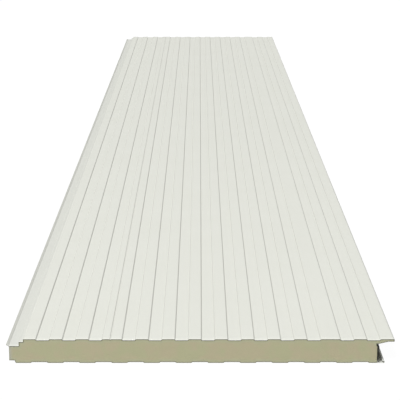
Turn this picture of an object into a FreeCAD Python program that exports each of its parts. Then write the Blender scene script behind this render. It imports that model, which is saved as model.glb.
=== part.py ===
"""Insulated wall panel with hidden fixings: two ribbed steel facings bonded to a rigid foam core.

The section is drawn across the panel and drawn out along its length.
Across, u runs from the joint riser of the tongue side (u = 0) towards the nose of the groove side.
Height z runs up from the plane that the panel rests on. The outer, weather face is on top.
"""
import FreeCAD, Part
import math
import os

# Whole panel, millimetres
panel_length = 7000.0
cover_width = 1000.0          # laid width, from one panel's joint riser to the next one's
core_depth = 60.0             # nominal thickness: the foam between two facing low flats
foam_setback = 1.0            # the foam's sawn ends stand back from the ends of the facings

# Steel facings
outer_sheet = 0.6
inner_sheet = 0.5
bend_radius = 1.0             # inside radius of every fold

# Ribs of the outer facing, from the joint riser to the nose
first_flat = 34.2             # from the joint riser to the first low band
low_band_groups = (3, 8, 2)   # low bands in each group, with an equal high flat between two of them
wide_flat = 54.0              # plain flats that part the groups
nose_top = 38.0               # flat on top of the nose, from the last low band to the tip
outer_rib_depth = 3.0
outer_slope = 3.0             # run of the sloping side of a rib
crease_inset = 21.0           # centre of the fine crease, from the edge of the first wide flat
crease_width = 5.0
crease_depth = 1.8

# Nose that covers the neighbour's fixings
joint_gap = 3.3               # open line left between a nose and the next panel's riser
nose_height = 6.9
nose_flat = 16.5              # level underside behind the tip
nose_drop = 6.1               # fall of the underside from there to the nose's root
root_run = 4.2                # level run of the root outside the core

# Tongue, the stepped edge that takes the screws
seat_gap = 1.0                # play between the nose of one panel and the tread of the next
tread_width = 11.7
shoulder_width = 26.7
shoulder_fall = 11.4          # fall from the tread to the shoulder
lip_set_out = 0.5             # the lip's fold lies this far outside the core
lip_reach = 7.0
lip_rise = 4.5

# Ribs and edges of the inner facing
inner_band_count = 23         # low and raised bands of one width in turn, low at both ends
inner_rib_depth = 2.5
inner_slope = 3.0
inner_start = -22.0           # first low band, from the joint riser
rebate_height = 7.4           # clear height of the rebate below the tongue
flange_gap = 6.9              # from the flange to the rebate of the next panel
hem_height = 5.5              # upturned edge of the flange
hem_return = 6.0

# Groove side of the core
core_gap = 10.9               # from this core to the tongue of the next panel
lip_pocket = 2.0              # depth of the pocket that takes the neighbour's lip
lip_pocket_height = 6.0
gasket_thickness = 4.5
gasket_head = 6.0             # thickness of its head, which the neighbour's lip presses into
gasket_head_flat = 3.0
gasket_crown = 8.0            # from the top of the head down to its widest point
gasket_neck = 6.0             # from there down to the plain strip
gasket_foot = 8.5
gasket_gap = 0.5              # below the nose's root
gasket_round = 1.5

# Heights and places that follow from them
outer_low = inner_rib_depth + inner_sheet + core_depth + outer_sheet
outer_high = outer_low + outer_rib_depth
nose_under = outer_high - nose_height
root_level = nose_under - nose_drop
tread_level = nose_under - seat_gap
shoulder_level = tread_level - shoulder_fall
shoulder_edge = -tread_width - shoulder_width
lip_fold = shoulder_edge - lip_set_out
lip_tip = lip_fold - lip_reach
nose_tip = cover_width - joint_gap
groove_side = cover_width + shoulder_edge - core_gap
pocket_wall = groove_side - lip_pocket
pocket_floor = root_level - lip_pocket_height
flange_tip = cover_width + inner_start - flange_gap
outer_band = (nose_tip - first_flat - nose_top - wide_flat * (len(low_band_groups) - 1)) / (
    2 * sum(low_band_groups) - len(low_band_groups))
inner_band = (flange_tip - inner_start) / inner_band_count
middle = (lip_tip + nose_tip) / 2.0


def rib_points(start, widths, levels, slope):
    """Corners of a ribbed run: bands of the given widths and levels, joined by slopes."""
    points = []
    edge = start
    for width, level, next_level in zip(widths, levels, levels[1:]):
        edge += width
        points.append((edge - slope / 2.0, level))
        points.append((edge + slope / 2.0, next_level))
    return points


def crease_points(centre, level):
    """Corners of the shallow V pressed along a flat."""
    half = crease_width / 2.0
    return [(centre - half, level), (centre, level - crease_depth), (centre + half, level)]


def outer_ribs():
    """Weather face from the joint riser to the nose: groups of low bands, parted by wide flats."""
    flats = []
    for group in low_band_groups:
        flats += [outer_band] * (group - 1) + [wide_flat]
    widths = [first_flat]
    for flat in flats:
        widths += [outer_band, flat]
    widths.pop()                      # the nose takes the place of the last flat
    levels = [outer_high, outer_low] * len(flats) + [outer_high]
    points = rib_points(0.0, widths, levels, outer_slope)
    first_wide = 4 * low_band_groups[0]
    crease = crease_points(points[first_wide - 1][0] + crease_inset, outer_high)
    return points[:first_wide] + crease + points[first_wide:]


def outer_facing_path():
    """Visible surface of the outer facing, from the lip of the tongue round to the nose's root."""
    tongue = [
        (lip_tip, shoulder_level + lip_rise),
        (lip_fold, shoulder_level),
        (-tread_width, shoulder_level),
        (-tread_width, tread_level),
        (0.0, tread_level),
        (0.0, outer_high),
    ]
    nose = [
        (nose_tip, outer_high),
        (nose_tip, nose_under),
        (nose_tip - nose_flat, nose_under),
        (groove_side + root_run, root_level),
        (pocket_wall, root_level),
    ]
    return tongue + outer_ribs() + nose


def inner_facing_path():
    """Visible surface of the inner facing, from the rebate of the tongue to the flange's hem."""
    levels = [0.0 if i % 2 == 0 else inner_rib_depth for i in range(inner_band_count)]
    rebate = [
        (shoulder_edge, rebate_height),
        (inner_start - inner_slope / 2.0, rebate_height),
        (inner_start + inner_slope / 2.0, 0.0),
    ]
    hem = [
        (flange_tip, 0.0),
        (flange_tip, hem_height),
        (flange_tip - hem_return, hem_height),
    ]
    widths = [inner_band] * inner_band_count
    return rebate + rib_points(inner_start, widths, levels, inner_slope) + hem


def unit(a, b):
    length = math.dist(a, b)
    return (b[0] - a[0]) / length, (b[1] - a[1]) / length


def folded(path, thickness, side):
    """Both surfaces of a folded sheet, as corners with their radii.

    The path is the visible surface. The sheet lies to its left (side 1) or right (side -1).
    The two arcs of a fold share one centre, so that the sheet keeps its thickness.
    """
    visible, hidden = [], []
    for i, (u, z) in enumerate(path):
        before = unit(path[i - 1], path[i]) if i else unit(path[0], path[1])
        after = unit(path[i], path[i + 1]) if i + 1 < len(path) else before
        cross = before[0] * after[1] - before[1] * after[0]
        dot = before[0] * after[0] + before[1] * after[1]
        across = (-before[1] - after[1], before[0] + after[0])
        reach = side * thickness / (1.0 + dot)
        within, outside = 0.0, 0.0
        if abs(cross) > 1e-9:
            half_turn = math.tan(math.atan2(abs(cross), dot) / 2.0)
            run = min(math.dist(path[i - 1], path[i]), math.dist(path[i], path[i + 1]))
            outside = min(bend_radius + thickness, 0.48 * run / half_turn)
            within = max(outside - thickness, 0.05)
        inside_is_hidden = cross * side > 0
        visible.append((u, z, outside if inside_is_hidden else within))
        hidden.append((u + across[0] * reach, z + across[1] * reach,
                       within if inside_is_hidden else outside))
    return visible, hidden


def place(u, z, length):
    return FreeCAD.Vector(u - middle, -length / 2.0, z)


def prism(outline, length):
    """Solid drawn out along the panel from a closed outline of (u, z, radius) corners."""
    starts, ends, arcs = [], [], []
    for i, (u, z, radius) in enumerate(outline):
        corner = (u, z)
        after_corner = outline[(i + 1) % len(outline)][:2]
        back = unit(corner, outline[i - 1][:2])
        ahead = unit(corner, after_corner)
        if radius == 0.0:
            starts.append(place(u, z, length))
            ends.append(place(u, z, length))
            arcs.append(None)
            continue
        half = math.acos(max(-1.0, min(1.0, back[0] * ahead[0] + back[1] * ahead[1]))) / 2.0
        run = radius / math.tan(half)
        first = place(u + back[0] * run, z + back[1] * run, length)
        last = place(u + ahead[0] * run, z + ahead[1] * run, length)
        inward = (back[0] + ahead[0], back[1] + ahead[1])
        size = math.hypot(*inward)
        bulge = (radius / math.sin(half) - radius) / size
        crown = place(u + inward[0] * bulge, z + inward[1] * bulge, length)
        starts.append(first)
        ends.append(last)
        arcs.append(Part.Arc(first, crown, last).toShape())
    edges = []
    for i, arc in enumerate(arcs):
        if arc is not None:
            edges.append(arc)
        following = (i + 1) % len(outline)
        if ends[i].distanceToPoint(starts[following]) > 1e-6:
            edges.append(Part.LineSegment(ends[i], starts[following]).toShape())
    face = Part.Face(Part.Wire(edges))
    return face.extrude(FreeCAD.Vector(0.0, length, 0.0))


def facing(path, thickness, side):
    """Steel facing, folded from one sheet."""
    visible, hidden = folded(path, thickness, side)
    return prism(visible + hidden[::-1], panel_length)


def foam_core():
    """Rigid foam that fills the space between the facings, with its tongue and groove sides."""
    above = folded(outer_facing_path(), outer_sheet, -1)[1]
    below = folded(inner_facing_path(), inner_sheet, 1)[1]
    # The lip's two corners and the hem's three lie outside the foam.
    top = [(shoulder_edge, shoulder_level - outer_sheet, 0.0)] + above[2:]
    groove = [
        (pocket_wall, pocket_floor, 0.0),
        (groove_side, pocket_floor, 0.0),
        (groove_side, inner_sheet, 0.0),
    ]
    bottom = [(shoulder_edge, rebate_height + inner_sheet, 0.0)] + below[1:-3]
    return prism(top + groove + bottom[::-1], panel_length - 2.0 * foam_setback)


def groove_gasket():
    """Soft strip on the groove side of the core, with a thicker head under the nose's root."""
    top = root_level - gasket_gap
    widest = top - gasket_crown
    face = groove_side + gasket_thickness
    outline = [
        (groove_side, gasket_foot, 0.0),
        (groove_side, pocket_floor, 0.0),
        (pocket_wall, pocket_floor, 0.0),
        (pocket_wall, top, 0.0),
        (groove_side + gasket_head_flat, top, gasket_round),
        (groove_side + gasket_head, widest, gasket_round),
        (face, widest - gasket_neck, gasket_round),
        (face, gasket_foot, gasket_round),
    ]
    return prism(outline, panel_length)


def main():
    parts = {
        "outer_facing": facing(outer_facing_path(), outer_sheet, -1),
        "inner_facing": facing(inner_facing_path(), inner_sheet, 1),
        "foam_core": foam_core(),
        "groove_gasket": groove_gasket(),
    }
    os.makedirs("parts", exist_ok=True)
    for name, shape in parts.items():
        shape.exportStep("parts/" + name + ".step")
        box = shape.BoundBox
        print(name, "valid", shape.isValid(), "solids", len(shape.Solids),
              "litres %.3f" % (shape.Volume / 1e6),
              "x %.2f..%.2f z %.2f..%.2f" % (box.XMin, box.XMax, box.ZMin, box.ZMax))


main()
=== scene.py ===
# %% [markdown]
# # A long insulated wall panel on a studio floor
#
# The panel is two thin, ribbed steel sheets with rigid foam between them. Seven metres of it lie flat, with
# the weather face up and one sawn end towards us. The steel work is already drawn to size, so this lesson
# is about finishes: paint that came off a coil, foam that a saw went through, and a soft black seal.
#
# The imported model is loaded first, and nothing in it is ever moved. Every place below is worked out from
# its boxes.

# %% Load the panel
import math

import bmesh
import bpy
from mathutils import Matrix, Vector, noise
from mathutils.bvhtree import BVHTree


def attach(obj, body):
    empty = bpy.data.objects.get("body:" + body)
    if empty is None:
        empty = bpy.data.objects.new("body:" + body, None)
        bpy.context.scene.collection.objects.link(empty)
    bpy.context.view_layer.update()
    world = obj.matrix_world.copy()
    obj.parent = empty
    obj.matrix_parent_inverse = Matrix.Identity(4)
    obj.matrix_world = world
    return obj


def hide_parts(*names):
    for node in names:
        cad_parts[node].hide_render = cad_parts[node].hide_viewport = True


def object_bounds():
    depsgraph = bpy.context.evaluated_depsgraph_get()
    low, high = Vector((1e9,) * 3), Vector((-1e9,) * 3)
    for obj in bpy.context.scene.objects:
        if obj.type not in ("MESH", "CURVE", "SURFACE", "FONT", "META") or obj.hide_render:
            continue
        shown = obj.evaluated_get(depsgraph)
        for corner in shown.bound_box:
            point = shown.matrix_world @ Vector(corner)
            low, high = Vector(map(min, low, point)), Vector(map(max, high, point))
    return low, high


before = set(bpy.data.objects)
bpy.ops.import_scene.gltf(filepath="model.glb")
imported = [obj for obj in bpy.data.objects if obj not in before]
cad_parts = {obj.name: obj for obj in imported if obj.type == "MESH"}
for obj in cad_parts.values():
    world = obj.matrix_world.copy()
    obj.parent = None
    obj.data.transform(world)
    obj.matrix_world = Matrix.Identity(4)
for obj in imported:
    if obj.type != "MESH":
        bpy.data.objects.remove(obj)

cad_low, cad_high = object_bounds()
MM = 0.001                                  # lengths are in metres, and small ones are millimetres times MM
scene = bpy.context.scene
print("panel", [round(high - low, 4) for low, high in zip(cad_low, cad_high)], "m")
print("pieces", sorted(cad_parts))

# %% [markdown]
# ## Where we stand
#
# A panel this long only looks long from a low place with a long lens: near and far ribs then draw together
# slowly, as they do for someone who steps back across the yard. The camera stands a little under four
# metres from the near end, at chest height, and looks down by about a seventh of a right angle. It is
# almost on the panel's middle line, so that the ribs fan out evenly on both sides. Keys, drivers and depth
# of field aren't needed for a still.

# %% The camera
stand_off = 3.8793                          # from the near end
eye_height = 1.3280
side_step = -0.0024                         # from the middle of the box
look_down = 12.76                           # degrees below level
look_left = -0.029                          # degrees, so very slightly to the right

camera_data = bpy.data.cameras.new("long_lens")
camera_data.lens = 136.4
camera_data.sensor_width = 36.0
camera_data.clip_end = 200.0
camera = bpy.data.objects.new("long_lens", camera_data)
scene.collection.objects.link(camera)
camera.location = ((cad_low.x + cad_high.x) / 2 + side_step, cad_low.y - stand_off, cad_low.z + eye_height)
camera.rotation_euler = (math.radians(90 - look_down), 0.0, math.radians(look_left))
scene.camera = camera
print("camera", [round(v, 3) for v in camera.location], "lens", round(camera_data.lens, 1), "mm")

# %% [markdown]
# ## Two small helpers for materials
#
# Paint makers give colours as sRGB, and shaders count in linear light, so one function turns hex into
# linear numbers. Materials are trees of nodes. One function adds any node, with its settings, and wires its
# inputs: an input is given either a plain value or another node's output.

# %% Helpers for colours and nodes
def linear(hex_colour):
    """Turn an sRGB hex colour into the linear red, green, blue and alpha that a shader takes.

    The numbers are those of the sRGB standard's own curve.
    """
    parts = [int(hex_colour[i:i + 2], 16) / 255 for i in (1, 3, 5)]
    return [v / 12.92 if v <= 0.04045 else ((v + 0.055) / 1.055) ** 2.4 for v in parts] + [1.0]


def add_node(tree, kind, inputs=None, **settings):
    """Add a node. Each of inputs goes to a socket, by name or number: another node's output, or a value."""
    node = tree.nodes.new(kind)
    for name, value in settings.items():
        setattr(node, name, value)
    for socket, value in (inputs or {}).items():
        if isinstance(value, bpy.types.NodeSocket):
            tree.links.new(value, node.inputs[socket])
        else:
            node.inputs[socket].default_value = value
    return node


def new_material(name):
    """Start an empty node material and return it with its tree."""
    material = bpy.data.materials.new(name)
    material.use_nodes = True
    material.node_tree.nodes.clear()
    return material, material.node_tree


print("white is", [round(v, 3) for v in linear("#FFFFFF")], "and mid grey is", round(linear("#808080")[0], 3))

# %% [markdown]
# ## Edges that roll over
#
# A shear never leaves a sheet quite flat. Close to the cut it drags the edge down, so that the strip turns
# towards whoever stands at the end and catches the light there. The nose does the same: its top rolls over
# just before the fold, away from the light, and draws a thin grey line along the panel.
#
# Such a roll is really a few tenths of a millimetre deep. In a picture of the whole panel that can't be
# seen, so both are drawn ten times as deep or more. Thin steel can't be shaped like that, so it is a bump: a
# height in metres that falls off with the square of the way to the edge.

# %% The rolled edges
end_roll_width, end_roll_drop = 20 * MM, 5.5 * MM
nose_roll_width, nose_roll_drop = 5 * MM, 2.0 * MM


def edge_roll(tree, distance, edge, width, drop):
    """Height of a surface that rolls down over its last width before an edge."""
    share = add_node(tree, "ShaderNodeMapRange", {
        "Value": distance, "From Min": edge - width, "From Max": edge, "To Min": 0.0, "To Max": 1.0})
    squared = add_node(tree, "ShaderNodeMath", {0: share.outputs["Result"], 1: 2.0}, operation="POWER")
    height = add_node(tree, "ShaderNodeMath", {0: squared.outputs[0], 1: -drop}, operation="MULTIPLY")
    return height.outputs[0]


def rolled_edges(tree, where):
    """Bump for the strips along both sheared ends and along the nose."""
    along = add_node(tree, "ShaderNodeMath", {0: where.outputs["Y"]}, operation="ABSOLUTE")
    end = edge_roll(tree, along.outputs[0], cad_high.y, end_roll_width, end_roll_drop)
    nose = edge_roll(tree, where.outputs["X"], cad_high.x, nose_roll_width, nose_roll_drop)
    height = add_node(tree, "ShaderNodeMath", {0: end, 1: nose}, operation="ADD")
    return add_node(tree, "ShaderNodeBump", {"Height": height.outputs[0], "Distance": 1.0, "Strength": 1.0})


print("the rolled strips are", round(end_roll_width / MM), "and", round(nose_roll_width / MM), "mm wide")

# %% [markdown]
# ## Coil-coated steel
#
# Both facings are galvanised steel, painted flat on a coil line with 25 microns of polyester and folded
# afterwards. The paint is very even. What the eye gets is a dull satin surface, a slow cloudiness over a
# hand's width where it lies a touch thicker, and a fine orange peel. Three things break it:
#
# - The slopes of the ribs carry painted shade: their paint is drawn darker than the flats'. They are only
#   three millimetres wide, and soft light alone hardly tells them apart. The amount of painted shade is given
#   and isn't a known trait of the paint. The lip is a broader slope that light alone shows, so it keeps the
#   plain tone.
# - The strip for the screws, beside the tongue, lies deep and carries painted shade: its paint is drawn a
#   little greyer.
# - At the sheared ends there is no paint, only the grey edge of the steel.
#
# All three are found by direction or place, so no mask has to be painted. The orange peel is really about a
# millimetre across, far finer than a picture of a whole panel can show, so it is drawn at several
# millimetres.

# %% The paint
slope_painted_shade = 0.835                          # painted shade: how bright a slope's paint is against a flat's
steep_up, level_up = 0.85, 0.97             # up or down part of the normal, on a slope and a flat
strip_edge = cad_low.x + 45 * MM            # just short of the face's first riser
strip_fade = 2 * MM                         # the strip's painted shade sets in over this much on each side
lip_edge = cad_low.x + 6 * MM
end_facing = 0.9                            # lengthwise part of the normal, past which it is a sheared end
sheared_steel = "#4A4945"
paint_roughness, sheared_roughness = 0.6, 0.38
cloud_width, peel_width = 160 * MM, 6 * MM


def coil_coated_polyester(name, paint_hex, cloud_hex, strip_shade_hex):
    """Paint of two slowly mixed tones, painted shade on the rib slopes and in the screw strip, bare steel at
    the ends.
    """
    material, tree = new_material(name)
    place = add_node(tree, "ShaderNodeTexCoord")
    clouds = add_node(tree, "ShaderNodeTexNoise", {
        "Vector": place.outputs["Object"], "Scale": 1 / cloud_width, "Detail": 3.0, "Roughness": 0.55})
    paint = add_node(tree, "ShaderNodeMix", data_type="RGBA", inputs={
        0: clouds.outputs["Fac"], 6: linear(paint_hex), 7: linear(cloud_hex)})
    facing = add_node(tree, "ShaderNodeSeparateXYZ", {"Vector": place.outputs["Normal"]})
    where = add_node(tree, "ShaderNodeSeparateXYZ", {"Vector": place.outputs["Object"]})

    # Painted shade: the deep screw strip gets a greyer paint than the face.
    recess_painted_shade = add_node(tree, "ShaderNodeMapRange", {
        "Value": where.outputs["X"], "From Min": strip_edge - strip_fade,
        "From Max": strip_edge + strip_fade, "To Min": 1.0, "To Max": 0.0})
    strip = add_node(tree, "ShaderNodeMix", data_type="RGBA", inputs={
        0: recess_painted_shade.outputs["Result"], 6: paint.outputs[2], 7: linear(strip_shade_hex)})
    # Painted shade: the slopes of the ribs get a darker paint than the flats, and the lip keeps the plain
    # tone.
    level = add_node(tree, "ShaderNodeMath", {0: facing.outputs["Z"]}, operation="ABSOLUTE")
    slope = add_node(tree, "ShaderNodeMapRange", {
        "Value": level.outputs[0], "From Min": steep_up, "From Max": level_up,
        "To Min": slope_painted_shade, "To Max": 1.0})
    lip = add_node(tree, "ShaderNodeMath", {0: where.outputs["X"], 1: lip_edge}, operation="LESS_THAN")
    tone = add_node(tree, "ShaderNodeMath", operation="MAXIMUM", inputs={
        0: slope.outputs["Result"], 1: lip.outputs[0]})
    paint_with_painted_shade = add_node(tree, "ShaderNodeVectorMath", {0: strip.outputs[2], "Scale": tone.outputs[0]},
                     operation="SCALE")
    along = add_node(tree, "ShaderNodeMath", {0: facing.outputs["Y"]}, operation="ABSOLUTE")
    sheared = add_node(tree, "ShaderNodeMath", {0: along.outputs[0], 1: end_facing},
                       operation="GREATER_THAN")
    colour = add_node(tree, "ShaderNodeMix", data_type="RGBA", inputs={
        0: sheared.outputs[0], 6: paint_with_painted_shade.outputs["Vector"], 7: linear(sheared_steel)})
    roughness = add_node(tree, "ShaderNodeMix", {
        0: sheared.outputs[0], 2: paint_roughness, 3: sheared_roughness})

    peel = add_node(tree, "ShaderNodeTexNoise", {
        "Vector": place.outputs["Object"], "Scale": 1 / peel_width, "Detail": 2.0})
    bump = add_node(tree, "ShaderNodeBump", {
        "Height": peel.outputs["Fac"], "Distance": 0.05 * MM, "Strength": 0.6,
        "Normal": rolled_edges(tree, where).outputs["Normal"]})
    shader = add_node(tree, "ShaderNodeBsdfPrincipled", {
        "Base Color": colour.outputs[2], "Metallic": sheared.outputs[0], "Roughness": roughness.outputs[0],
        "Normal": bump.outputs["Normal"], "Specular IOR Level": 0.12})
    add_node(tree, "ShaderNodeOutputMaterial", {"Surface": shader.outputs["BSDF"]})
    return material


# The last colour of each is the painted shade of the deep screw strip.
outer_paint = coil_coated_polyester("coil_coated_polyester_grey_white", "#E8E9E1", "#E4E5DC", "#DDDED7")
inner_paint = coil_coated_polyester("coil_coated_polyester_liner_grey", "#DCDDD6", "#D7D8D1", "#DADBD4")
for node, material in (("outer_facing", outer_paint), ("inner_facing", inner_paint)):
    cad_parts[node].material_slots[0].material = material
    print(node, "is painted with", material.name)

# %% [markdown]
# ## The sawn foam
#
# The core is rigid polyurethane foam. It is poured as a liquid between the moving facings, rises, sticks to
# both and sets, and a saw then cuts the endless panel to length. So it has two kinds of surface: a smooth,
# slightly darker skin along the two long sides, and sawn ends, where the blade has opened thousands of tiny
# cells.
#
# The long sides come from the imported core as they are. A copy of it is merged, its ends are cut into a fine
# grid with planes, and the grid's points are pushed in and out, so that the sawn relief is real and its
# outline stays exact. A grid of planes is used because it leaves the long sides alone, which a subdivision
# of the whole core wouldn't.

# %% Merge the core and cut its ends into a grid
saw_grid = 1.5 * MM
merge_distance = 0.001 * MM
plane_distance = 0.0001 * MM                # points as near to a cutting plane as this count as on it
flat_angle = math.radians(0.1)              # faces that meet at less than this count as one
square_to_length = 0.99                     # lengthwise part of the normal on a sawn end


def merged_copy(node_name):
    """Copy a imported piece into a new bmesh, with its loose triangles joined and its flat faces whole."""
    bm = bmesh.new()
    bm.from_mesh(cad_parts[node_name].data)
    bmesh.ops.remove_doubles(bm, verts=bm.verts, dist=merge_distance)
    bmesh.ops.dissolve_limit(bm, angle_limit=flat_angle, verts=bm.verts, edges=bm.edges)
    return bm


def end_faces(bm, end):
    """The faces of the sawn end that faces along the panel in direction end, 1 or -1."""
    return [face for face in bm.faces if face.normal.y * end > square_to_length]


def cut_into_strips(bm, faces, axis, spacing):
    """Cut faces with parallel planes across one axis. Each plane only meets what the last ones left."""
    places = [vert.co[axis] for face in faces for vert in face.verts]
    low, high = min(places), max(places)
    count = max(1, round((high - low) / spacing))
    across = Vector((0, 0, 0))
    across[axis] = 1.0
    left = faces
    for i in range(1, count):
        cut = low + (high - low) * i / count
        parts = left + list({edge for face in left for edge in face.edges})
        parts += list({vert for face in left for vert in face.verts})
        done = bmesh.ops.bisect_plane(
            bm, geom=parts, dist=plane_distance, plane_co=across * cut, plane_no=across)
        left = [part for part in done["geom"]
                if isinstance(part, bmesh.types.BMFace) and part.calc_center_median()[axis] > cut]


def grid_ends(bm, spacing):
    """Give both sawn ends a square grid, and leave the long sides as they are."""
    for end in (-1, 1):
        bmesh.ops.dissolve_faces(bm, faces=end_faces(bm, end))
        cut_into_strips(bm, end_faces(bm, end), 0, spacing)
        cut_into_strips(bm, end_faces(bm, end), 2, spacing)
        print("end", end, "has", len(end_faces(bm, end)), "small faces")


core = merged_copy("foam_core")
grid_ends(core, saw_grid)

# %% [markdown]
# ## What the saw left
#
# The blade runs across the panel, so its teeth leave faint upright score marks, uneven and a few
# millimetres apart. Between them the opened cells make a fine roughness, in clusters, because the foam
# rises in billows. The relief is only a few tenths of a millimetre deep. The outermost points, which touch
# the steel, aren't moved, so the foam still fills the section to its edge.

# %% Press the relief into both ends
score_pitch = 7 * MM
score_depth = 0.12 * MM
cell_cluster = 4 * MM
cell_depth = 0.22 * MM
billow_width = 38 * MM
billow_depth = 0.25 * MM
score_stretch = 0.04                        # height counts for little, so the marks stand upright
billow_stretch = 1.7                        # billows are wider than they are tall
end_seed, cell_seed, billow_seed = 11.0, 3.0, 7.0       # keep the two ends and the patterns unlike


def sawn_relief(x, z, end):
    """How far a point of a sawn end stands in front of the cut's mean plane."""
    seed = end_seed * end
    score = noise.noise((x / score_pitch, score_stretch * z / score_pitch, seed))
    cells = noise.noise((x / cell_cluster, seed + cell_seed, z / cell_cluster))
    billows = noise.noise((seed + billow_seed, x / billow_width, billow_stretch * z / billow_width))
    return score_depth * score + cell_depth * cells + billow_depth * billows


def press_relief(bm, relief):
    """Move the inner points of both ends along the panel by what relief gives for their place."""
    for end in (-1, 1):
        faces = set(end_faces(bm, end))
        touched = {vert for face in faces for vert in face.verts}
        inner = [vert for vert in touched if faces.issuperset(vert.link_faces)]
        for vert in inner:
            vert.co.y += end * relief(vert.co.x, vert.co.z, end)
        print("end", end, "has", len(inner), "points moved")


press_relief(core, sawn_relief)

# %% [markdown]
# ## Where the foam met the steel
#
# Against each facing the foam sets denser, as a skin a millimetre or two thick. On the cut this skin is drawn
# darker as painted shade along the join with the steel, and the next few millimetres are a little greener
# than the middle. That pattern follows the ribs, so it can't come from plain coordinates. The distance from
# every point to the nearest steel is measured once and stored on the mesh as an attribute, which the material
# then reads.

# %% Store the distance from the steel
def steel_tree():
    """A search tree of both facings, for finding the nearest steel."""
    both = bmesh.new()
    for node_name in ("outer_facing", "inner_facing"):
        both.from_mesh(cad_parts[node_name].data)
    tree = BVHTree.FromBMesh(both)
    both.free()
    return tree


def make_piece(bm, name, materials, replaced_node):
    """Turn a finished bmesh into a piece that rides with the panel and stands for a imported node."""
    mesh = bpy.data.meshes.new(name)
    bm.to_mesh(mesh)
    bm.free()
    for material in materials:
        mesh.materials.append(material)
    piece = bpy.data.objects.new(name, mesh)
    scene.collection.objects.link(piece)
    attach(piece, "root")
    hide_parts(replaced_node)
    print(name, "has", sum(len(face.vertices) - 2 for face in mesh.polygons), "triangles")


steel = steel_tree()
from_steel = core.verts.layers.float.new("from_steel")
for vert in core.verts:
    vert[from_steel] = steel.find_nearest(vert.co)[3]
print("the point furthest from steel is", round(max(v[from_steel] for v in core.verts) / MM, 1), "mm deep")

# %% [markdown]
# ## Rigid polyurethane foam, sawn and moulded
#
# Sawn foam is dull and dry: no sheen, a khaki beige in which some billows are browner and some greener, and
# a grain of open cells. The cells are about 0.3 mm across, too fine to show, so the grain is drawn at 2 mm.
# The moulded skin on the long sides is the same foam closed over: a shade darker, smoother, and drawn out
# in faint streaks along the line.
#
# Two zones are told apart on the sawn ends. A dense skin, two millimetres thick, follows the steel, with its
# dark colour as painted shade along the join.
# And on the tongue side, where the foam met the side belt of the line, the first centimetre is drawn a
# little greyer than the rest.

# %% The two foam finishes
foam_side = min(vert.co.x for vert in core.verts)
rim_width = 12 * MM
tint_width, grain_width, streak_width = 45 * MM, 2 * MM, 14 * MM
skin_shade_from, skin_shade_to = 0.9 * MM, 2.2 * MM     # depth over which the dark skin, painted shade along the join, gives way
green_from, green_to = 3 * MM, 11 * MM      # and the greener zone under it
streak_stretch = 0.12                       # streaks are drawn out about eight times along the line
tint_low, tint_high = 0.42, 0.58            # levels of the billows' noise between which the tint turns
sawn_facing = 0.7                           # lengthwise part of the normal: 1 on a cut end, 0 on a long side


def sawn_polyurethane_foam():
    """Dry, open foam: billows of two tints, a greener zone, a dark skin of painted shade near steel, a greyer
    rim.
    """
    material, tree = new_material("rigid_polyurethane_foam_sawn")
    place = add_node(tree, "ShaderNodeTexCoord")
    billows = add_node(tree, "ShaderNodeTexNoise", {
        "Vector": place.outputs["Object"], "Scale": 1 / tint_width, "Detail": 3.0, "Roughness": 0.6})
    tone = add_node(tree, "ShaderNodeValToRGB", {"Fac": billows.outputs["Fac"]})
    tone.color_ramp.elements[0].position, tone.color_ramp.elements[1].position = tint_low, tint_high
    tone.color_ramp.elements[0].color = linear("#ACAB8B")
    tone.color_ramp.elements[1].color = linear("#B0A98D")
    depth = add_node(tree, "ShaderNodeAttribute", attribute_name="from_steel")
    # Painted shade: within about two millimetres of the steel the foam's colour turns dark, along the join.
    skin = add_node(tree, "ShaderNodeMapRange", interpolation_type="SMOOTHSTEP", inputs={
        "Value": depth.outputs["Fac"], "From Min": skin_shade_from, "From Max": skin_shade_to})
    green = add_node(tree, "ShaderNodeMapRange", interpolation_type="SMOOTHSTEP", inputs={
        "Value": depth.outputs["Fac"], "From Min": green_from, "From Max": green_to})
    inside = add_node(tree, "ShaderNodeMix", data_type="RGBA", inputs={
        0: green.outputs["Result"], 6: linear("#ACAC90"), 7: tone.outputs["Color"]})
    where = add_node(tree, "ShaderNodeSeparateXYZ", {"Vector": place.outputs["Object"]})
    from_side = add_node(tree, "ShaderNodeMapRange", interpolation_type="SMOOTHSTEP", inputs={
        "Value": where.outputs["X"], "From Min": foam_side, "From Max": foam_side + rim_width})
    rimmed = add_node(tree, "ShaderNodeMix", data_type="RGBA", inputs={
        0: from_side.outputs["Result"], 6: linear("#AAAA9C"), 7: inside.outputs[2]})
    colour = add_node(tree, "ShaderNodeMix", data_type="RGBA", inputs={
        0: skin.outputs["Result"], 6: linear("#7B7962"), 7: rimmed.outputs[2]})
    grain = add_node(tree, "ShaderNodeTexNoise", {
        "Vector": place.outputs["Object"], "Scale": 1 / grain_width, "Detail": 3.0, "Roughness": 0.7})
    bump = add_node(tree, "ShaderNodeBump", {
        "Height": grain.outputs["Fac"], "Distance": 0.25 * MM, "Strength": 0.7})
    shader = add_node(tree, "ShaderNodeBsdfPrincipled", {
        "Base Color": colour.outputs[2], "Roughness": 0.95, "Normal": bump.outputs["Normal"],
        "Specular IOR Level": 0.2})
    add_node(tree, "ShaderNodeOutputMaterial", {"Surface": shader.outputs["BSDF"]})
    return material


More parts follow.
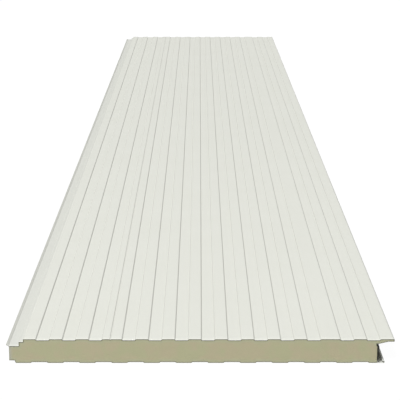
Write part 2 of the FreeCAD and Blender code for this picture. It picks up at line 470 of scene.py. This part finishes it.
def moulded_foam_skin():
    """Closed, smoother foam in two close tones, mixed in faint streaks along the panel."""
    material, tree = new_material("rigid_polyurethane_foam_moulded_skin")
    place = add_node(tree, "ShaderNodeTexCoord")
    drawn_out = add_node(tree, "ShaderNodeMapping", {
        "Vector": place.outputs["Object"], "Scale": (1.0, streak_stretch, 1.0)})
    streaks = add_node(tree, "ShaderNodeTexNoise", {
        "Vector": drawn_out.outputs["Vector"], "Scale": 1 / streak_width, "Detail": 4.0, "Roughness": 0.6})
    colour = add_node(tree, "ShaderNodeMix", data_type="RGBA", inputs={
        0: streaks.outputs["Fac"], 6: linear("#A39E7E"), 7: linear("#B3AE8F")})
    bump = add_node(tree, "ShaderNodeBump", {
        "Height": streaks.outputs["Fac"], "Distance": 0.4 * MM, "Strength": 0.6})
    shader = add_node(tree, "ShaderNodeBsdfPrincipled", {
        "Base Color": colour.outputs[2], "Roughness": 0.7, "Normal": bump.outputs["Normal"]})
    add_node(tree, "ShaderNodeOutputMaterial", {"Surface": shader.outputs["BSDF"]})
    return material


foam_finishes = [sawn_polyurethane_foam(), moulded_foam_skin()]
for face in core.faces:
    face.material_index = 0 if abs(face.normal.y) > sawn_facing else 1
make_piece(core, "sawn_foam_core", foam_finishes, "foam_core")

# %% [markdown]
# ## The seal on the groove side
#
# A strip of soft black sponge is stuck to the groove side of the core and tucked up under the nose. When
# the next panel is pushed in, its tongue squeezes the strip and shuts out rain and draught. Sponge rubber
# is a true matt black that shows only as the dark line in the groove, with a fine open grain where it was
# cut.

# %% The sponge strip
pore_width = 1.2 * MM


def black_sponge_rubber():
    """Matt black, with fine open pores."""
    material, tree = new_material("black_sponge_rubber_cut")
    place = add_node(tree, "ShaderNodeTexCoord")
    pores = add_node(tree, "ShaderNodeTexVoronoi", {
        "Vector": place.outputs["Object"], "Scale": 1 / pore_width})
    colour = add_node(tree, "ShaderNodeMix", data_type="RGBA", inputs={
        0: pores.outputs["Distance"], 6: linear("#0B0A06"), 7: linear("#1C1A11")})
    bump = add_node(tree, "ShaderNodeBump", {"Height": pores.outputs["Distance"], "Distance": 0.3 * MM})
    shader = add_node(tree, "ShaderNodeBsdfPrincipled", {
        "Base Color": colour.outputs[2], "Roughness": 0.85, "Normal": bump.outputs["Normal"]})
    add_node(tree, "ShaderNodeOutputMaterial", {"Surface": shader.outputs["BSDF"]})
    return material


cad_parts["groove_gasket"].material_slots[0].material = black_sponge_rubber()
print("groove_gasket is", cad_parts["groove_gasket"].material_slots[0].material.name)

# %% [markdown]
# ## The floor and the light
#
# The panel lies on a plain white floor that runs out of sight. The floor takes the panel's shadow, but the
# camera sees it mostly by a light of its own, so that it stays as white as the page it will be printed on.
# Paint and foam never meet that light as a lamp: rays that only carry light across the room find a plain
# pale floor.
#
# There are three lights. A soft sun from the front left and above turns the ribs' right-hand slopes away
# into thin grey lines and leaves the left-hand ones almost as bright as the flats. A softbox, two metres
# square, stands to the left of the near end. Lamps near a thing fade with distance, and that is why the far
# end of the panel is a little darker than the near one. A pale sky fills the rest. Their shares of the
# light on a level surface add up to about one, so a colour renders about as it is written.

# %% Floor
floor_size = 400.0
floor_drop = 0.1 * MM                       # keeps the floor just below the facing's low flats
floor_colour = "#EDEDED"                    # for rays that only carry light
floor_glow = 0.965                          # the light of its own that the camera sees
shadow_colour = "#4C4C4C"                   # the little that lamps add to it, and a shadow takes away


def rays_that_show(tree):
    """1 for rays that see a surface straight or in a mirror, and 0 for those that only carry light."""
    path = add_node(tree, "ShaderNodeLightPath")
    mirrored = add_node(tree, "ShaderNodeMath", operation="MAXIMUM", inputs={
        0: path.outputs["Is Glossy Ray"], 1: path.outputs["Is Transmission Ray"]})
    seen = add_node(tree, "ShaderNodeMath", operation="MAXIMUM", inputs={
        0: path.outputs["Is Camera Ray"], 1: mirrored.outputs[0]})
    return seen.outputs[0]


floor_mesh = bpy.data.meshes.new("floor")
floor_bm = bmesh.new()
bmesh.ops.create_grid(floor_bm, x_segments=1, y_segments=1, size=floor_size / 2)
bmesh.ops.translate(floor_bm, verts=floor_bm.verts, vec=(0, 0, cad_low.z - floor_drop))
floor_bm.to_mesh(floor_mesh)
floor_bm.free()
floor = bpy.data.objects.new("floor", floor_mesh)
scene.collection.objects.link(floor)

floor_paint, tree = new_material("white_studio_floor")
seen = rays_that_show(tree)
plain = add_node(tree, "ShaderNodeBsdfDiffuse", {"Color": linear(floor_colour)})
shadow_share = add_node(tree, "ShaderNodeBsdfDiffuse", {"Color": linear(shadow_colour)})
own_light = add_node(tree, "ShaderNodeEmission", {"Color": linear("#FFFFFF"), "Strength": floor_glow})
both = add_node(tree, "ShaderNodeAddShader", {0: own_light.outputs[0], 1: shadow_share.outputs[0]})
mixed = add_node(tree, "ShaderNodeMixShader", {0: seen, 1: plain.outputs[0], 2: both.outputs[0]})
add_node(tree, "ShaderNodeOutputMaterial", {"Surface": mixed.outputs[0]})
floor_mesh.materials.append(floor_paint)
print("floor", floor_size, "m square")

# %% Sky, sun and softbox
sky_share = 0.31                            # of the light on a level surface
sun_share = 0.56
box_share = 0.12                            # at the near end; it falls off along the panel
towards_sun = Vector((-0.28, -0.48, 0.82))
sun_softness = 24                           # degrees across
towards_box = Vector((-3.0, -3.5, 4.5))     # from the middle of the near end
box_side = 2.0
full_light = math.pi                        # strength at which a lamp overhead shows white as white

world = bpy.data.worlds.new("white_studio")
scene.world = world
world.use_nodes = True
tree = world.node_tree
tree.nodes.clear()
seen = rays_that_show(tree)
strength = add_node(tree, "ShaderNodeMix", {0: seen, 2: sky_share, 3: 1.0})
sky = add_node(tree, "ShaderNodeBackground", {"Color": linear("#FFFFFF"), "Strength": strength.outputs[0]})
add_node(tree, "ShaderNodeOutputWorld", {"Surface": sky.outputs[0]})

sun_data = bpy.data.lights.new("soft_sun", "SUN")
sun_data.energy = sun_share * full_light / towards_sun.normalized().z
sun_data.angle = math.radians(sun_softness)
sun = bpy.data.objects.new("soft_sun", sun_data)
scene.collection.objects.link(sun)
sun.rotation_euler = towards_sun.to_track_quat("Z", "Y").to_euler()

near_end = Vector(((cad_low.x + cad_high.x) / 2, cad_low.y, cad_high.z))
box_data = bpy.data.lights.new("softbox", "AREA")
box_data.shape = "SQUARE"
box_data.size = box_side
square_law = math.pi * towards_box.length ** 2      # a flat lamp's light thins out by this
box_data.energy = box_share * full_light * square_law / towards_box.normalized().z
box = bpy.data.objects.new("softbox", box_data)
scene.collection.objects.link(box)
box.location = near_end + towards_box
box.rotation_euler = towards_box.to_track_quat("Z", "Y").to_euler()
scene.view_settings.view_transform = "Standard"
print("sun strength", round(sun_data.energy, 3), "and softbox", round(box_data.energy), "W")
